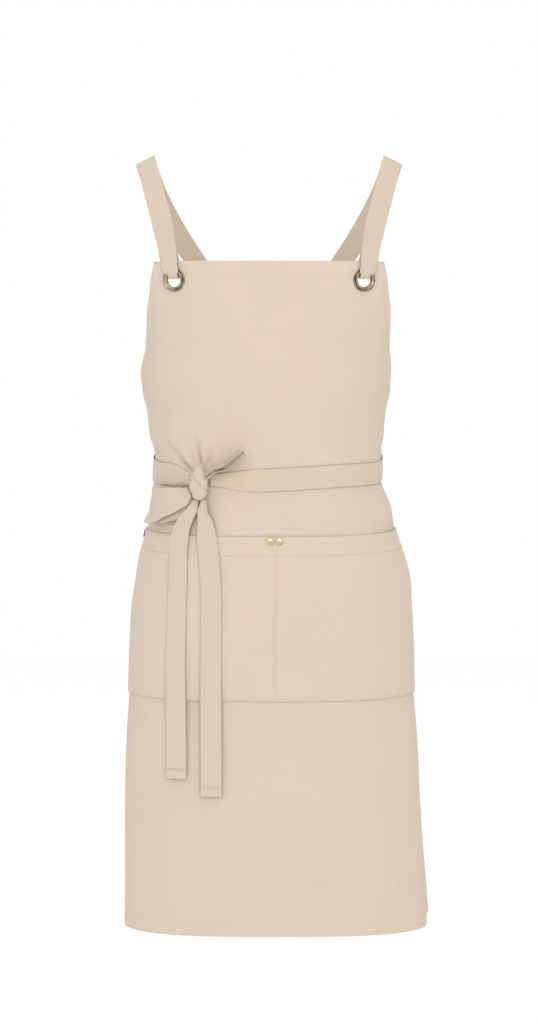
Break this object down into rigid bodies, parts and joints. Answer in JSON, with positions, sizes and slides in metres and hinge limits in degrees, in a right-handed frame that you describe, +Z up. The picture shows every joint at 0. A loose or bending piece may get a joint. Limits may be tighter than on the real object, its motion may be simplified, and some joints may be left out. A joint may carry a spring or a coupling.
{
  "type": "cross back apron",
  "caption": "Full cross back apron in beige twill as worn, with eyelet straps, wrapped waist ties in a bow and a riveted double pocket.",
  "frame": {"origin": "midway between the places where the two straps lie on the shoulders, at the height of the straps", "axes": "+Z up, the bib and pocket face -Y, the viewer's right is +X"},
  "size_m": [0.4214, 0.2479, 1.043],
  "materials": {
    "canvas": "matte cotton twill",
    "strap_cloth": "matte cotton twill",
    "eyelet_metal": "antique brass, satin",
    "rivet_metal": "polished copper brass",
    "tab_weave": "dark woven tape"
  },
  "bodies": {
    "root": {"apron_panel": "canvas", "front_pocket": "canvas", "eyelet_left": "eyelet_metal", "eyelet_right": "eyelet_metal", "shoulder_strap_left": "strap_cloth", "shoulder_strap_right": "strap_cloth", "waist_tie_left": "strap_cloth", "waist_tie_right": "strap_cloth", "bow_knot": "strap_cloth", "bow_loop_left": "strap_cloth", "bow_loop_right": "strap_cloth", "tie_tail_left": "strap_cloth", "tie_tail_right": "strap_cloth", "pocket_rivet_left": "rivet_metal", "pocket_rivet_right": "rivet_metal", "pocket_side_tab": "tab_weave"}
  },
  "joints": []
}
